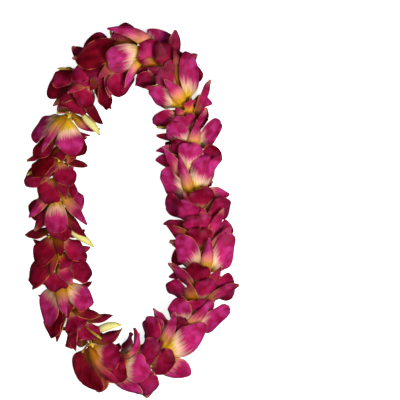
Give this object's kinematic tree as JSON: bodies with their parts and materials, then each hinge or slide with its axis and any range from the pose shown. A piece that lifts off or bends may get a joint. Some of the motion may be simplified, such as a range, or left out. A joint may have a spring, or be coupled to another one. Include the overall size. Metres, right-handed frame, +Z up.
{
  "type": "orchid lei",
  "caption": "Closed garland of overlapping magenta dendrobium orchid blooms and pale unopened buds, strung nose to tail on a knotted cotton string and lying flat.",
  "frame": {"origin": "middle of the whole lei seen from above, on the surface that it lies on", "axes": "+Z up; +Y along the length of the loop, towards the knot; +X across the loop, to the right in the picture. Seen from above, the blooms face anticlockwise"},
  "size_m": [0.2684, 0.4718, 0.0511],
  "materials": {
    "magenta_petal": "soft satin petal",
    "pale_bud": "smooth waxy bud",
    "cotton_thread": "twisted cotton"
  },
  "bodies": {
    "root": {"bloom_01": "magenta_petal", "bloom_02": "magenta_petal", "bloom_03": "magenta_petal", "bloom_04": "magenta_petal", "bloom_05": "magenta_petal", "bloom_06": "magenta_petal", "bloom_07": "magenta_petal", "bloom_08": "magenta_petal", "bloom_09": "magenta_petal", "bloom_10": "magenta_petal", "bloom_11": "magenta_petal", "bloom_12": "magenta_petal", "bloom_13": "magenta_petal", "bloom_14": "magenta_petal", "bloom_15": "magenta_petal", "bloom_16": "magenta_petal", "bloom_17": "magenta_petal", "bloom_18": "magenta_petal", "bloom_19": "magenta_petal", "bloom_20": "magenta_petal", "bloom_21": "magenta_petal", "bloom_22": "magenta_petal", "bloom_23": "magenta_petal", "bloom_24": "magenta_petal", "bloom_25": "magenta_petal", "bloom_26": "magenta_petal", "bloom_27": "magenta_petal", "bloom_28": "magenta_petal", "bloom_29": "magenta_petal", "bloom_30": "magenta_petal", "bloom_31": "magenta_petal", "bloom_32": "magenta_petal", "bloom_33": "magenta_petal", "bloom_34": "magenta_petal", "bloom_35": "magenta_petal", "bloom_36": "magenta_petal", "bloom_37": "magenta_petal", "bloom_38": "magenta_petal", "bloom_39": "magenta_petal", "bloom_40": "magenta_petal", "bloom_41": "magenta_petal", "bloom_42": "magenta_petal", "bloom_43": "magenta_petal", "bloom_44": "magenta_petal", "bloom_45": "magenta_petal", "bloom_46": "magenta_petal", "bud_1": "pale_bud", "bud_2": "pale_bud", "bud_3": "pale_bud", "thread": "cotton_thread"}
  },
  "joints": []
}
